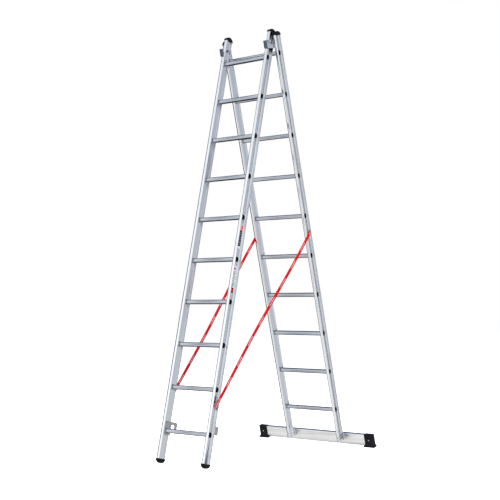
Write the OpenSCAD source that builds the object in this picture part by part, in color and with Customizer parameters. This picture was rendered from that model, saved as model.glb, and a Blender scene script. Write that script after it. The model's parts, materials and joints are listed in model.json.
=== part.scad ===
// Two-section combination ladder, standing as an A-frame.
// The rear section carries the guides and the stabiliser bar; the front section hangs in the guides on two bolts.
// Each section is drawn upright with the hinge line at its origin, +Y to the rear, and then leans into place.

/* [Sections] */
// Distance from one rung to the next
rung_pitch = 280; // [230:1:320]
// Half the clear width between the front section's stiles
front_half_clear = 176; // [140:1:230]
// Clearance between the front section's stiles and the guide plates
slide_gap = 1; // [0.6:0.1:3]
// Lean of the front section from upright
front_lean = 13.3; // [10:0.1:16]
// Lean of the rear section from upright
rear_lean = 15; // [12:0.1:18]
// Length of the front stiles past the lowest rung
front_tail = 180; // [150:1:260]
// Length of the front stiles above the top rung
front_head = 176; // [150:1:260]
// Length of the rear stiles past the lowest rung
rear_tail = 237; // [215:1:300]
// Length of the rear stiles above the top rung
rear_head = 120; // [105:1:200]

/* [Stile extrusion] */
// Depth of a stile, front to back
stile_depth = 62; // [54:1:80]
// Thickness of a stile, side to side
stile_thick = 25; // [22:1:32]
// Thickness of the web that the rungs pass through
web_thick = 3; // [2:0.5:4]
// Thickness of the two flanges
flange_thick = 2.5; // [1.8:0.1:4]
// How far the flanges' outer edges turn in towards each other
flange_lip = 4; // [2:0.5:6]
// Depth of the groove along the inner side
groove_depth = 6; // [4:0.5:8]
// Radius on the outer edges of the stile
stile_edge = 5; // [1:0.5:6]

/* [Rungs] */
// Height and depth of a rung
rung_size = 28; // [24:1:34]
// Corner radius of a rung
rung_corner = 9; // [3:0.5:10]
// Wall of a rung
rung_wall = 1.6; // [1.4:0.1:3]
// Thickness of the rolled collar on each side of the stile wall
collar_thick = 2; // [1:0.1:2.5]
// How far a collar stands out round the rung
collar_lip = 3; // [1.5:0.1:4]
// How far a rung's end stands out of the stile's web
rung_stub = 3; // [2.5:0.5:6]

/* [Hinge and guides] */
// Height of the hinge bolts above the front section's top rung
hinge_above_front = 100; // [70:1:130]
// Height of the hinge bolts above the rear section's top rung
hinge_above_rear = 72; // [60:1:95]
// Gap between the folded front stiles and the rear rungs
fold_gap = 2; // [1:0.5:6]
// Radius of the hinge bolts
hinge_bolt_r = 6; // [5:0.5:8]
// Running clearance of a hinge bolt in its notch
hinge_fit = 0.08; // [0.04:0.01:0.1]
// Thickness of the guide's side plate
guide_plate = 4; // [3:0.5:6]
// Thickness of the guide's front lip
guide_lip = 3; // [2.5:0.5:4]
// Height of the guide's front lip above the hinge line
guide_up = 22; // [18:1:30]
// Depth of the guide below the hinge line
guide_down = 30; // [24:1:34]

/* [Caps and feet] */
// Wall of the caps and feet in front of and behind the stile
cap_wall = 2.5; // [1.5:0.1:4]
// How far a cap or foot grips over the stile end
cap_grip = 3; // [2:1:14]
// How far the dome of a cap or foot rises past its straight sides
dome_rise = 22.8; // [14:0.1:28]
// Straight height of a foot past the stile end, before its dome
foot_block = 2; // [1:0.5:12]
// Straight height of a cap past the stile end, before its dome
cap_block = 1.2; // [1:0.1:8]

/* [Stabiliser] */
// Length of the stabiliser over its end feet
stabiliser_length = 1007; // [700:1:1300]
// How far the stabiliser's middle sits to the left of the ladder's middle
stabiliser_offset = 30.5; // [0:0.5:60]
// Height of the stabiliser bar
bar_height = 80; // [60:1:100]
// Depth of the stabiliser bar
bar_depth = 25; // [20:1:40]
// Wall of the stabiliser bar
bar_wall = 2; // [1.5:0.1:3]
// Length of an end foot
end_foot_length = 70; // [50:1:100]
// Wall of an end foot round the bar
end_foot_wall = 3.5; // [2.5:0.1:6]
// Height of the flared sole
sole_height = 10; // [6:1:16]
// How far the sole flares to each side
sole_flare = 8; // [0:0.5:12]
// How far the sole reaches out in front of the foot
sole_toe = 12; // [4:0.5:14]

/* [Straps] */
// Width of the webbing
strap_width = 25; // [15:1:35]
// Thickness of the webbing
strap_thick = 1.6; // [1:0.1:2]
// Distance of the front anchor below the front section's ninth rung
strap_front_drop = 103; // [60:1:180]
// Distance of the rear anchor below the rear section's fifth rung
strap_rear_drop = 124; // [60:1:180]
// Radius of the anchor screws
anchor_r = 4; // [3:0.5:5]

/* [Rung hooks] */
// Thickness of a hook plate
hook_plate = 4; // [2.5:0.5:5]
// Width of the prong behind the slot
hook_prong = 24; // [16:1:30]
// Clearance of a rung in the hook slot, each side
hook_slot_gap = 1; // [0.5:0.5:3]
// How far the hook reaches above its slot
hook_rise = 18; // [10:1:26]

/* [Labels] */
// Thickness of a label
label_thick = 0.3; // [0.2:0.1:0.5]
// Width of a label
label_width = 34; // [18:1:40]
// Length of the upper label
upper_label_length = 154; // [80:1:200]
// Length of the lower label
lower_label_length = 176; // [80:1:200]

/* [Hidden] */
$fn = 32;
RUNGS = 10;
SIDES = ["left", "right"];

// Widths, measured from the ladder's middle plane
front_inner = front_half_clear;
front_outer = front_inner + stile_thick;
guide_side = front_outer + slide_gap;
rear_inner = guide_side + guide_plate;
rear_outer = rear_inner + stile_thick;
half_depth = stile_depth / 2;
half_rung = rung_size / 2;
web_out = groove_depth + web_thick;
groove_half = half_rung + collar_lip + 0.5;
groove_slope = 2;

// The folded front section lies this far in front of the rear one, middle plane to middle plane
fold_offset = half_depth + half_rung + fold_gap;

// Heights along each section, from the hinge line
function front_rung_z(i) = -hinge_above_front - (i - 1) * rung_pitch;
function rear_rung_z(i) = -hinge_above_rear - (i - 1) * rung_pitch;
front_top = front_rung_z(1) + front_head;
front_bottom = front_rung_z(RUNGS) - front_tail;
rear_top = rear_rung_z(1) + rear_head;
rear_bottom = rear_rung_z(RUNGS) - rear_tail;

// The domed ends, whose sides keep clear of the other section and its guides
cap_half = half_depth + cap_wall;
cap_side = 0.7 * slide_gap;
dome_r = (cap_half * cap_half + dome_rise * dome_rise) / (2 * dome_rise);
dome_sink = dome_r - dome_rise;
foot_dome_centre = front_bottom - foot_block + dome_sink;

// The hinge line stands this high, with the front feet on the ground
hinge_height = dome_r - foot_dome_centre * cos(front_lean);

// The stabiliser hangs on the back of the rear stiles, with its soles' front edges on the ground
bar_front = fold_offset + half_depth;
toe_y = bar_front - end_foot_wall - sole_toe;
sole_z = -(hinge_height + toe_y * sin(rear_lean)) / cos(rear_lean);
bar_lift = 8;
bar_bottom = sole_z + bar_lift;
bar_top = bar_bottom + bar_height;
bolt_gap = 22;
upper_bolt_z = rear_bottom + 35;
bar_bolt_r = 4;

// Where the sections reach to, front and rear, which sets the middle of the footprint
front_reach = cap_half * cos(front_lean) - (front_bottom - foot_block) * sin(front_lean);
rear_reach = (bar_front + bar_depth + end_foot_wall) * cos(rear_lean) - sole_z * sin(rear_lean);
hinge_y = (front_reach - rear_reach) / 2;

// Guide: with the ladder fully open, the front stiles rest against the foot of its front lip
opening = front_lean + rear_lean;
stop_gap = 0.6;
lip_y = -half_depth / cos(opening) - guide_down * tan(opening) - stop_gap;
notch_r = hinge_bolt_r + hinge_fit;
guide_rear = fold_offset + 12;
guide_sag = 5;
nut_height = 6;
head_gap = 0.5;

// Straps
strap_gap = 1.4;
strap_front_x = front_outer + strap_gap + strap_thick / 2;
strap_rear_x = rear_outer + strap_gap + strap_thick / 2;
strap_front_z = front_rung_z(9) - strap_front_drop;
strap_rear_z = rear_rung_z(5) - strap_rear_drop;
anchor_gap = 0.5;
eyelet_gap = 0.6;
strap_end = 14;
strap_a = leaned([strap_front_x, 0, strap_front_z], -front_lean);
strap_b = leaned([strap_rear_x, fold_offset, strap_rear_z], rear_lean);
strap_run = strap_b - strap_a;
strap_length = norm(strap_run);
strap_rise = atan2(strap_run[2], strap_run[1]);
strap_splay = asin(strap_run[0] / strap_length);

// A point of an upright section, once it leans
function leaned(p, a) = [p[0], p[1] * cos(a) - p[2] * sin(a), p[1] * sin(a) + p[2] * cos(a)];

// Points along an arc, for outlines
function arc(c, r, a0, a1, steps) =
    [for (i = [0:steps]) c + r * [cos(a0 + (a1 - a0) * i / steps), sin(a0 + (a1 - a0) * i / steps)]];

module in_ladder() translate([stabiliser_offset, hinge_y, hinge_height]) children();
module in_front() in_ladder() rotate([-front_lean, 0, 0]) children();
module in_rear() in_ladder() rotate([rear_lean, 0, 0]) children();
module on_side(side) {
    if (side == "right") children();
    else mirror([1, 0, 0]) children();
}
module both_sides() {
    children();
    mirror([1, 0, 0]) children();
}
// Turns a shape drawn in the XY plane so that it faces along X, with its Y upward
module facing_x() rotate([90, 0, 90]) children();

// A rounded square, made of true arcs
module soft_square(size, r) {
    half = size / 2;
    square([size - 2 * r, size], center = true);
    square([size, size - 2 * r], center = true);
    for (x = [r - half, half - r], y = [r - half, half - r]) translate([x, y]) circle(r);
}

// --- Stiles -----------------------------------------------------------------------------

// Section of a right-hand stile: X from its inner side outward, Y to the rear.
// A channel open outward, with a stepped web that leaves a groove along the inner side.
module stile_section() {
    e = stile_edge;
    h = half_depth;
    f = flange_thick;
    step = groove_half + groove_slope;
    half = concat(
        [[groove_depth, groove_half], [0, step]],
        arc([e, h - e], e, 180, 90, 4),
        [[stile_thick, h], [stile_thick, h - flange_lip], [stile_thick - f, h - flange_lip],
         [stile_thick - f, h - f], [web_thick, h - f], [web_thick, step + web_thick / 2],
         [web_out, groove_half + web_thick / 2]]
    );
    last = len(half) - 1;
    polygon(concat(half, [for (i = [0:last]) [half[last - i][0], -half[last - i][1]]]));
}

// A stile with a rounded-square hole at each rung; rung_z gives the rungs' heights
module stile(top, bottom, rung_z) {
    difference() {
        translate([0, 0, bottom]) linear_extrude(top - bottom) stile_section();
        for (z = rung_z) translate([-1, 0, z]) facing_x() linear_extrude(stile_thick + 2)
            soft_square(rung_size, rung_corner);
    }
}

module drill_x(x0, x1, y, z, r) translate([x0, y, z]) rotate([0, 90, 0]) cylinder(h = x1 - x0, r = r);
module drill_y(x, y0, y1, z, r) translate([x, y0, z]) rotate([-90, 0, 0]) cylinder(h = y1 - y0, r = r);

module front_stile(side) color("silver") in_front() on_side(side) difference() {
    translate([front_inner, 0, 0]) stile(front_top, front_bottom, [for (i = [1:RUNGS]) front_rung_z(i)]);
    drill_x(front_inner - 1, front_outer + 1, 0, 0, hinge_bolt_r);
    drill_x(front_inner, front_outer, 0, strap_front_z, anchor_r);
    for (p = hook_rivet_places) drill_x(front_inner - 1, front_inner + web_thick + 1, p[0], p[1], rivet_r);
}

module rear_stile(side) color("silver") in_rear() on_side(side) difference() {
    translate([rear_inner, fold_offset, 0]) stile(rear_top, rear_bottom, [for (i = [1:RUNGS]) rear_rung_z(i)]);
    drill_x(rear_inner, rear_outer, fold_offset, strap_rear_z, anchor_r);
    for (p = guide_rivet_places) drill_x(rear_inner, rear_outer, p[0], p[1], rivet_r);
    for (z = bar_bolt_heights)
        drill_y(bar_bolt_x, fold_offset - half_depth - 1, bar_front + 1, z, bar_bolt_r);
}

// --- Rungs ------------------------------------------------------------------------------

// A hollow rung between two stiles, with a rolled collar on each side of each stile's web
module rung(inner, z) {
    end = inner + web_out + rung_stub;
    difference() {
        union() {
            translate([-end, 0, z]) facing_x() linear_extrude(2 * end) soft_square(rung_size, rung_corner);
            both_sides() for (x = [inner + web_out, inner + groove_depth - collar_thick])
                translate([x, 0, z]) facing_x() linear_extrude(collar_thick)
                    soft_square(rung_size + 2 * collar_lip, rung_corner + collar_lip);
        }
        translate([-end - 1, 0, z]) facing_x() linear_extrude(2 * end + 2)
            soft_square(rung_size - 2 * rung_wall, rung_corner - rung_wall);
    }
}

module front_rung(i) color("gainsboro") in_front() rung(front_inner, front_rung_z(i));
module rear_rung(i) color("gainsboro") in_rear() translate([0, fold_offset, 0]) rung(rear_inner, rear_rung_z(i));

// --- Caps and feet ----------------------------------------------------------------------

// Side view of a domed end: Y to the rear, Z outward from the stile end at 0
module dome_outline(block) {
    translate([-cap_half, -cap_grip]) square([2 * cap_half, cap_grip + block]);
    intersection() {
        translate([0, block - dome_sink]) circle(dome_r, $fn = 96);
        translate([-cap_half, 0]) square([2 * cap_half, 2 * dome_r]);
    }
}

// A moulded end that slips over a stile, upright, with the stile end at 0
module domed_end(block) {
    difference() {
        translate([-cap_side, 0, 0]) facing_x() linear_extrude(stile_thick + 2 * cap_side) dome_outline(block);
        translate([0, -half_depth, -cap_grip - 1]) cube([stile_thick, stile_depth, cap_grip + 1]);
    }
}

module front_cap(side) color([0.08, 0.08, 0.09]) in_front() on_side(side)
    translate([front_inner, 0, front_top]) domed_end(cap_block);
module rear_cap(side) color([0.08, 0.08, 0.09]) in_rear() on_side(side)
    translate([rear_inner, fold_offset, rear_top]) domed_end(cap_block);
module front_foot(side) color([0.08, 0.08, 0.09]) in_front() on_side(side)
    translate([front_inner, 0, front_bottom]) mirror([0, 0, 1]) domed_end(foot_block);

// --- Guides and hinge -------------------------------------------------------------------

rivet_r = 3;
rivet_head_r = 6;
rivet_head = 2.5;
guide_rivet_places = [[fold_offset, guide_up - 5], [fold_offset - 6, 2], [fold_offset - 8, -guide_down + 8]];

// Side view of the guide's plate: Y to the rear and Z upward from the hinge line, with the notch
// for the bolt open at the top
module guide_outline() {
    span = guide_rear - lip_y;
    sag_r = span * span / (8 * guide_sag) + guide_sag / 2;
    mouth = notch_r + 10;
    difference() {
        union() {
            translate([lip_y - guide_lip, -guide_down]) square([span + guide_lip, guide_up + guide_down]);
            intersection() {
                translate([(lip_y + guide_rear) / 2, -guide_down - guide_sag + sag_r]) circle(sag_r, $fn = 128);
                translate([lip_y, -guide_down - guide_sag]) square([span, guide_sag + 1]);
            }
        }
        circle(notch_r);
        polygon([[-notch_r, 0], [notch_r, 0], [mouth, guide_up + 1], [-notch_r, guide_up + 1]]);
    }
}

// The plate with its bolt seat, the pad that fills the rear stile's groove, and the lip that
// wraps round the front of the front stile
module guide(side) color("slategray") in_rear() on_side(side) difference() {
    union() {
        translate([guide_side, 0, 0]) facing_x() linear_extrude(guide_plate) guide_outline();
        translate([front_inner + 1, lip_y - guide_lip, -guide_down])
            cube([guide_side - front_inner, guide_lip, guide_up + guide_down]);
        translate([rear_inner, fold_offset - groove_half + 0.5, -guide_down])
            cube([groove_depth, guide_rear - fold_offset + groove_half - 0.5, guide_up + guide_down]);
    }
    drill_x(guide_side - 1, rear_inner + 1, 0, 0, notch_r);
    for (p = guide_rivet_places) drill_x(guide_side - 1, rear_inner + groove_depth + 1, p[0], p[1], rivet_r);
}

module guide_rivets() color("lightgray") in_rear() both_sides() for (p = guide_rivet_places) {
    drill_x(guide_side, rear_inner + web_out + 1, p[0], p[1], rivet_r);
    drill_x(rear_inner + web_out, rear_inner + web_out + rivet_head, p[0], p[1], rivet_head_r);
}

// The bolt's head is outside the guide, its shank crosses the notch and the front stile's web,
// and its nut sits in the front stile's inner groove
hinge_head_r = 9.5;
hinge_head = 5.5;
hinge_nut = 8;
module hinge_bolts() color("dimgray") in_front() both_sides() {
    seat = rear_inner + head_gap;
    drill_x(front_inner + groove_depth - hinge_nut - 2, seat + 1, 0, 0, hinge_bolt_r);
    drill_x(seat, seat + hinge_head, 0, 0, hinge_head_r);
}
module hinge_spacers() color("silver") in_front() both_sides() difference() {
    drill_x(front_inner + web_out, guide_side - slide_gap / 2, 0, 0, hinge_head_r);
    drill_x(front_inner, guide_side, 0, 0, hinge_bolt_r);
}
module hinge_nuts() color("dimgray") in_front() both_sides() difference() {
    translate([front_inner + groove_depth - hinge_nut, 0, 0]) rotate([0, 90, 0])
        cylinder(h = hinge_nut, r = hinge_bolt_r + 4.5, $fn = 6);
    drill_x(front_inner - hinge_nut, front_inner + groove_depth + 1, 0, 0, hinge_bolt_r);
}

// --- Stabiliser -------------------------------------------------------------------------

bar_half = stabiliser_length / 2;
bar_end = bar_half - end_foot_wall;
bar_bolt_x = rear_inner + web_out + bar_bolt_r + 1;
bar_bolt_heights = [upper_bolt_z, upper_bolt_z - bolt_gap];
bolt_head_r = 7;
bolt_head = 4;
module on_bar() in_rear() translate([-stabiliser_offset, bar_front, 0]) children();

module stabiliser_bar() color("whitesmoke") in_rear() difference() {
    translate([-stabiliser_offset - bar_end, bar_front, bar_bottom]) cube([2 * bar_end, bar_depth, bar_height]);
    translate([-stabiliser_offset - bar_end - 1, bar_front + bar_wall, bar_bottom + bar_wall])
        cube([2 * bar_end + 2, bar_depth - 2 * bar_wall, bar_height - 2 * bar_wall]);
    for (x = [-bar_bolt_x, bar_bolt_x], z = bar_bolt_heights)
        drill_y(x, bar_front - 1, bar_front + bar_depth + 1, z, bar_bolt_r);
    for (s = [-1, 1]) drill_y(s * (bar_half - end_foot_length / 2) - stabiliser_offset, bar_front - 1,
        bar_front + bar_wall + 1, foot_screw_z, foot_screw_r);
}

module stabiliser_bolts() color("lightgray") in_rear() for (x = [-bar_bolt_x, bar_bolt_x], z = bar_bolt_heights) {
    drill_y(x, fold_offset - half_depth - bolt_head, fold_offset - half_depth, z, bolt_head_r);
    drill_y(x, fold_offset - half_depth - 1, bar_front + bar_depth + nut_height + 2, z, bar_bolt_r);
}
module stabiliser_nuts() color("lightgray") in_rear() for (x = [-bar_bolt_x, bar_bolt_x], z = bar_bolt_heights)
    difference() {
        translate([x, bar_front + bar_depth, z]) rotate([-90, 0, 0]) cylinder(h = nut_height, r = bolt_head_r, $fn = 6);
        drill_y(x, bar_front + bar_depth - 1, bar_front + bar_depth + nut_height + 1, z, bar_bolt_r);
    }

foot_screw_r = 3;
foot_screw_z = (bar_bottom + bar_top) / 2;
// A moulded foot that slips over the bar's end and flares into a sole
module stabiliser_foot(side) color([0.08, 0.08, 0.09]) on_bar() on_side(side) difference() {
    union() {
        translate([bar_half - end_foot_length, -end_foot_wall, sole_z])
            cube([end_foot_length, bar_depth + 2 * end_foot_wall, bar_top + end_foot_wall - sole_z]);
        translate([bar_half - end_foot_length - sole_flare, -end_foot_wall - sole_toe, sole_z])
            cube([end_foot_length + 2 * sole_flare, bar_depth + 2 * end_foot_wall + sole_toe, sole_height - 4]);
        translate([bar_half - end_foot_length - sole_flare / 2, -end_foot_wall - sole_toe / 2, sole_z])
            cube([end_foot_length + sole_flare, bar_depth + 2 * end_foot_wall + sole_toe / 2, sole_height]);
    }
    translate([bar_half - end_foot_length - sole_flare - 1, 0, bar_bottom])
        cube([end_foot_length + sole_flare + 1 - end_foot_wall, bar_depth, bar_height]);
    drill_y(bar_half - end_foot_length / 2, -end_foot_wall - 1, 1, foot_screw_z, foot_screw_r);
}
module stabiliser_foot_screws() color("lightgray") on_bar() both_sides() {
    x = bar_half - end_foot_length / 2;
    drill_y(x, -end_foot_wall - 2, -end_foot_wall, foot_screw_z, foot_screw_r + 2);
    drill_y(x, -end_foot_wall - 1, bar_wall + 2, foot_screw_z, foot_screw_r);
}

// --- Rung hooks -------------------------------------------------------------------------

// The slot takes a rung of the rear section when the ladder is used extended
slot_half = half_rung + hook_slot_gap;
slot_y = fold_offset;
slot_top = rear_rung_z(RUNGS) + half_rung + hook_slot_gap;
hook_top = slot_top + hook_rise;
hook_foot = front_rung_z(RUNGS) - half_rung - 12;
hook_rear = slot_y + slot_half + hook_prong;
hook_rivet_y = groove_half + groove_slope + rivet_r + 2;
hook_rivet_places = [[hook_rivet_y, hook_top - 8], [hook_rivet_y, slot_top - 10], [hook_rivet_y, hook_foot + 8]];
module hook_outline() {
    mouth = slot_top - rung_size - 6;
    difference() {
        polygon([[-half_rung - 6, hook_foot], [slot_y - slot_half, hook_foot],
                 [slot_y - slot_half, mouth], [slot_y + slot_half, mouth], [slot_y + slot_half + 3, mouth - 3],
                 [hook_rear, mouth - 3], [hook_rear, hook_top - 8], [hook_rear - 8, hook_top], [-6, hook_top],
                 [-half_rung - 6, hook_top - 10]]);
        translate([slot_y - slot_half, mouth - 1]) square([2 * slot_half, slot_top - mouth - rung_corner + 1]);
        translate([slot_y - slot_half + rung_corner, mouth - 1])
            square([2 * (slot_half - rung_corner), slot_top - mouth + 1]);
        for (y = [slot_y - slot_half + rung_corner, slot_y + slot_half - rung_corner])
            translate([y, slot_top - rung_corner]) circle(rung_corner);
    }
}
module hook(side) color("darkgray") in_front() on_side(side) difference() {
    translate([front_inner - hook_plate, 0, 0]) facing_x() linear_extrude(hook_plate) hook_outline();
    translate([front_inner - hook_plate - 1, 0, front_rung_z(RUNGS)]) facing_x() linear_extrude(hook_plate + 2)
        soft_square(rung_size, rung_corner);
    for (p = hook_rivet_places) drill_x(front_inner - hook_plate - 1, front_inner + 1, p[0], p[1], rivet_r);
}
module hook_rivets() color("lightgray") in_front() both_sides() for (p = hook_rivet_places) {
    drill_x(front_inner - hook_plate - rivet_head, front_inner - hook_plate, p[0], p[1], rivet_r + 2);
    drill_x(front_inner - hook_plate - 1, front_inner + web_thick, p[0], p[1], rivet_r);
}

// --- Straps -----------------------------------------------------------------------------

anchor_head_r = 8;
anchor_head = 3;
// A spacer, a screw and its head, standing out from a stile's channel; x is the strap's plane
module anchor(floor_x, x, y, z) {
    drill_x(floor_x, x - strap_thick / 2 - anchor_gap, y, z, anchor_head_r - 1);
    drill_x(floor_x - web_thick, x + strap_thick / 2 + anchor_gap + 1, y, z, anchor_r);
    drill_x(x + strap_thick / 2 + anchor_gap, x + strap_thick / 2 + anchor_gap + anchor_head, y, z, anchor_head_r);
}
module front_strap_anchors() color("lightgray") in_front() both_sides()
    anchor(front_inner + web_out, strap_front_x, 0, strap_front_z);
module rear_strap_anchors() color("lightgray") in_rear() both_sides()
    anchor(rear_inner + web_out, strap_rear_x, fold_offset, strap_rear_z);

// Flat webbing with an eyelet at each end, drawn along Y and then turned onto its run
module strap(side) color("crimson") in_ladder() on_side(side)
    translate(strap_a) rotate([strap_rise, 0, 0]) rotate([0, 0, -strap_splay])
    translate([-strap_thick / 2, 0, 0]) facing_x() linear_extrude(strap_thick) difference() {
        translate([-strap_end, -strap_width / 2]) square([strap_length + 2 * strap_end, strap_width]);
        circle(anchor_r + eyelet_gap);
        translate([strap_length, 0]) circle(anchor_r + eyelet_gap);
    }

// --- Labels -----------------------------------------------------------------------------

module label(z_middle, length) color("white") in_front()
    translate([front_inner + web_out, -label_width / 2, z_middle - length / 2])
    cube([label_thick, label_width, length]);
module label_upper() label(front_rung_z(5) - rung_pitch * 0.46, upper_label_length);
module label_lower() label(front_rung_z(6) - rung_pitch * 0.475, lower_label_length);

// --- Assembly ---------------------------------------------------------------------------

for (s = SIDES) {
    rear_stile(s);
    rear_cap(s);
    guide(s);
    stabiliser_foot(s);
    front_stile(s);
    front_cap(s);
    front_foot(s);
    hook(s);
    strap(s);
}
for (i = [1:RUNGS]) {
    rear_rung(i);
    front_rung(i);
}
guide_rivets();
stabiliser_bar();
stabiliser_bolts();
stabiliser_nuts();
stabiliser_foot_screws();
rear_strap_anchors();
hook_rivets();
hinge_bolts();
hinge_spacers();
hinge_nuts();
front_strap_anchors();
label_upper();
label_lower();
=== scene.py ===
import json
import math

import bmesh
import bpy
from mathutils import Matrix, Vector


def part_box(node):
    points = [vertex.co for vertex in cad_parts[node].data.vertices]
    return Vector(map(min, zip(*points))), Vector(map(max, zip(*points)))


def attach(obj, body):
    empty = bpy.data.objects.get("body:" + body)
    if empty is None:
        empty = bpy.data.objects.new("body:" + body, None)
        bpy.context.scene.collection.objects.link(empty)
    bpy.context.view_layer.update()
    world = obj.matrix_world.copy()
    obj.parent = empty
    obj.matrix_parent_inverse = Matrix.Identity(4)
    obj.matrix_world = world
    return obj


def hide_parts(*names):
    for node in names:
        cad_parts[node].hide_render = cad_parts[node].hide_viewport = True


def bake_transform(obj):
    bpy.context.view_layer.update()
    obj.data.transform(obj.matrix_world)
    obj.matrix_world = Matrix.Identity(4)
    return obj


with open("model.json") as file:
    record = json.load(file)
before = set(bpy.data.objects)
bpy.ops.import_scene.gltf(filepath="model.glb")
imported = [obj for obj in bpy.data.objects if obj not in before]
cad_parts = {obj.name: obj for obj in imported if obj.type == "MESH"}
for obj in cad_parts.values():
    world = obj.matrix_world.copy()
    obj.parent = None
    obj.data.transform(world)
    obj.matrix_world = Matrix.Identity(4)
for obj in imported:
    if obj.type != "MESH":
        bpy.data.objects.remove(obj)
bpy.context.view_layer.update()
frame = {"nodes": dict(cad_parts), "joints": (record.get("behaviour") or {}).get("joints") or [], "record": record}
nodes = frame["nodes"]

# --- Camera -----------------------------------------------------------------------------
# A long lens at chest height, out to the ladder's front right, looking a little upward.
# It is placed from the hinge line, which is where the two sections meet.
hinge = Vector(next(j for j in frame["joints"] if j["name"] == "fold")["pos_m"])
view_turn = math.radians(38.934)
view_rise = math.radians(2.892)
lens = bpy.data.cameras.new("camera")
lens.sensor_width = 36
lens.lens = 77.8
lens.clip_end = 60
camera = bpy.data.objects.new("camera", lens)
camera.location = hinge + Vector((4.584, -5.652, -1.749))
camera.rotation_euler = (math.pi / 2 + view_rise, 0, view_turn)
bpy.context.scene.collection.objects.link(camera)
bpy.context.scene.camera = camera

# --- Studio -----------------------------------------------------------------------------
# A white room with a pale floor. The metal mirrors three walls: a bright one in front of the
# ladder, a grey one to the right of it and a nearly black one to the left, all bluish above.
scene = bpy.context.scene
scene.view_settings.view_transform = "Standard"
scene.view_settings.look = "None"

world = bpy.data.worlds.new("studio")
scene.world = world
world.use_nodes = True
wn, wl = world.node_tree.nodes, world.node_tree.links
wn.clear()
coord = wn.new("ShaderNodeTexCoord")
axes = wn.new("ShaderNodeSeparateXYZ")
wl.new(coord.outputs["Generated"], axes.inputs[0])


def sky_band(stops):
    """Colours by height, from straight down at 0 to straight up at 1."""
    height = wn.new("ShaderNodeMapRange")
    height.inputs["From Min"].default_value = -1
    wl.new(axes.outputs["Z"], height.inputs["Value"])
    ramp = wn.new("ShaderNodeValToRGB")
    wl.new(height.outputs[0], ramp.inputs[0])
    marks = ramp.color_ramp.elements
    while len(marks) < len(stops):
        marks.new(0.5)
    for mark, (at, colour) in zip(marks, stops):
        mark.position = at
        mark.color = (*colour, 1)
    return ramp.outputs[0]


before = sky_band([
    (0.0, (0.03, 0.03, 0.033)), (0.13, (0.08, 0.08, 0.085)), (0.21, (0.92, 0.92, 0.92)),
    (0.50, (1.0, 1.0, 1.0)), (0.66, (1.2, 1.2, 1.19)), (0.78, (0.98, 0.99, 1.02)),
    (0.84, (0.40, 0.43, 0.50)), (1.0, (0.03, 0.04, 0.07)),
])
right = sky_band([
    (0.0, (0.05, 0.05, 0.055)), (0.20, (0.50, 0.50, 0.51)), (0.40, (0.84, 0.83, 0.83)),
    (0.50, (0.70, 0.73, 0.78)), (0.61, (0.62, 0.66, 0.74)), (0.72, (0.26, 0.31, 0.40)),
    (1.0, (0.08, 0.11, 0.17)),
])
left = sky_band([
    (0.0, (0.01, 0.01, 0.012)), (0.48, (0.02, 0.02, 0.023)), (0.56, (0.10, 0.12, 0.15)),
    (0.65, (0.20, 0.25, 0.34)), (0.75, (0.06, 0.12, 0.24)), (1.0, (0.03, 0.06, 0.12)),
])


def wall_change(axis, low, high, one, two):
    """Passes from one wall to the other as the view turns along an axis."""
    part = wn.new("ShaderNodeMapRange")
    part.interpolation_type = "SMOOTHSTEP"
    part.inputs["From Min"].default_value = low
    part.inputs["From Max"].default_value = high
    wl.new(axes.outputs[axis], part.inputs["Value"])
    m = wn.new("ShaderNodeMix")
    m.data_type = "RGBA"
    wl.new(part.outputs[0], m.inputs["Factor"])
    wl.new(one, m.inputs["A"])
    wl.new(two, m.inputs["B"])
    return m.outputs["Result"]


ahead = wall_change("X", -0.88, -0.70, left, before)
behind = wall_change("X", -0.30, 0.15, left, right)
walls = wall_change("Y", -0.10, 0.30, ahead, behind)
lit = wn.new("ShaderNodeBackground")
wl.new(walls, lit.inputs["Color"])
backdrop = wn.new("ShaderNodeBackground")
backdrop.inputs["Color"].default_value = (1, 1, 1, 1)
seen = wn.new("ShaderNodeLightPath")
both = wn.new("ShaderNodeMixShader")
wl.new(seen.outputs["Is Camera Ray"], both.inputs[0])
wl.new(lit.outputs[0], both.inputs[1])
wl.new(backdrop.outputs[0], both.inputs[2])
out = wn.new("ShaderNodeOutputWorld")
wl.new(both.outputs[0], out.inputs[0])


def softbox(name, place, size, power, colour=(1, 1, 1)):
    """A square area light that faces the middle of the ladder."""
    light = bpy.data.lights.new(name, "AREA")
    light.size = size
    light.energy = power
    light.color = colour
    lamp = bpy.data.objects.new(name, light)
    lamp.location = place
    aim = Vector((0, 0, 1.3)) - Vector(place)
    lamp.rotation_euler = aim.to_track_quat("-Z", "Y").to_euler()
    lamp.visible_glossy = False
    scene.collection.objects.link(lamp)


softbox("key_light", (-3.5, -6.0, 4.5), 3.5, 420)
softbox("fill_light", (6.5, -2.5, 3.0), 3.0, 320, (0.95, 0.97, 1.0))
softbox("floor_light", (0.5, 0.0, 7.0), 6.0, 650)

reach = 30
floor_mesh = bpy.data.meshes.new("floor")
floor_mesh.from_pydata([(-reach, -reach, 0), (reach, -reach, 0), (reach, reach, 0), (-reach, reach, 0)],
                       [], [(0, 1, 2, 3)])
floor = bpy.data.objects.new("floor", floor_mesh)
scene.collection.objects.link(floor)
floor_paint = bpy.data.materials.new("pale_floor")
floor_paint.use_nodes = True
paint = floor_paint.node_tree.nodes["Principled BSDF"].inputs
paint["Base Color"].default_value = (0.93, 0.93, 0.94, 1)
paint["Roughness"].default_value = 0.9
paint["Specular IOR Level"].default_value = 0.1
paint["Emission Color"].default_value = (1, 1, 1, 1)
paint["Emission Strength"].default_value = 0.72
floor_mesh.materials.append(floor_paint)
floor.visible_glossy = False
floor.visible_diffuse = False

# --- Stiles -----------------------------------------------------------------------------
# Four aluminium channels, extruded in one length and cut square, with slightly crowned front and
# rear faces. The die leaves fine lines along them, and handling leaves smudges and scratches.
MM = 0.001
front_nodes = frame["record"]["behaviour"]["bodies"]["front_section"]


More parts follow.
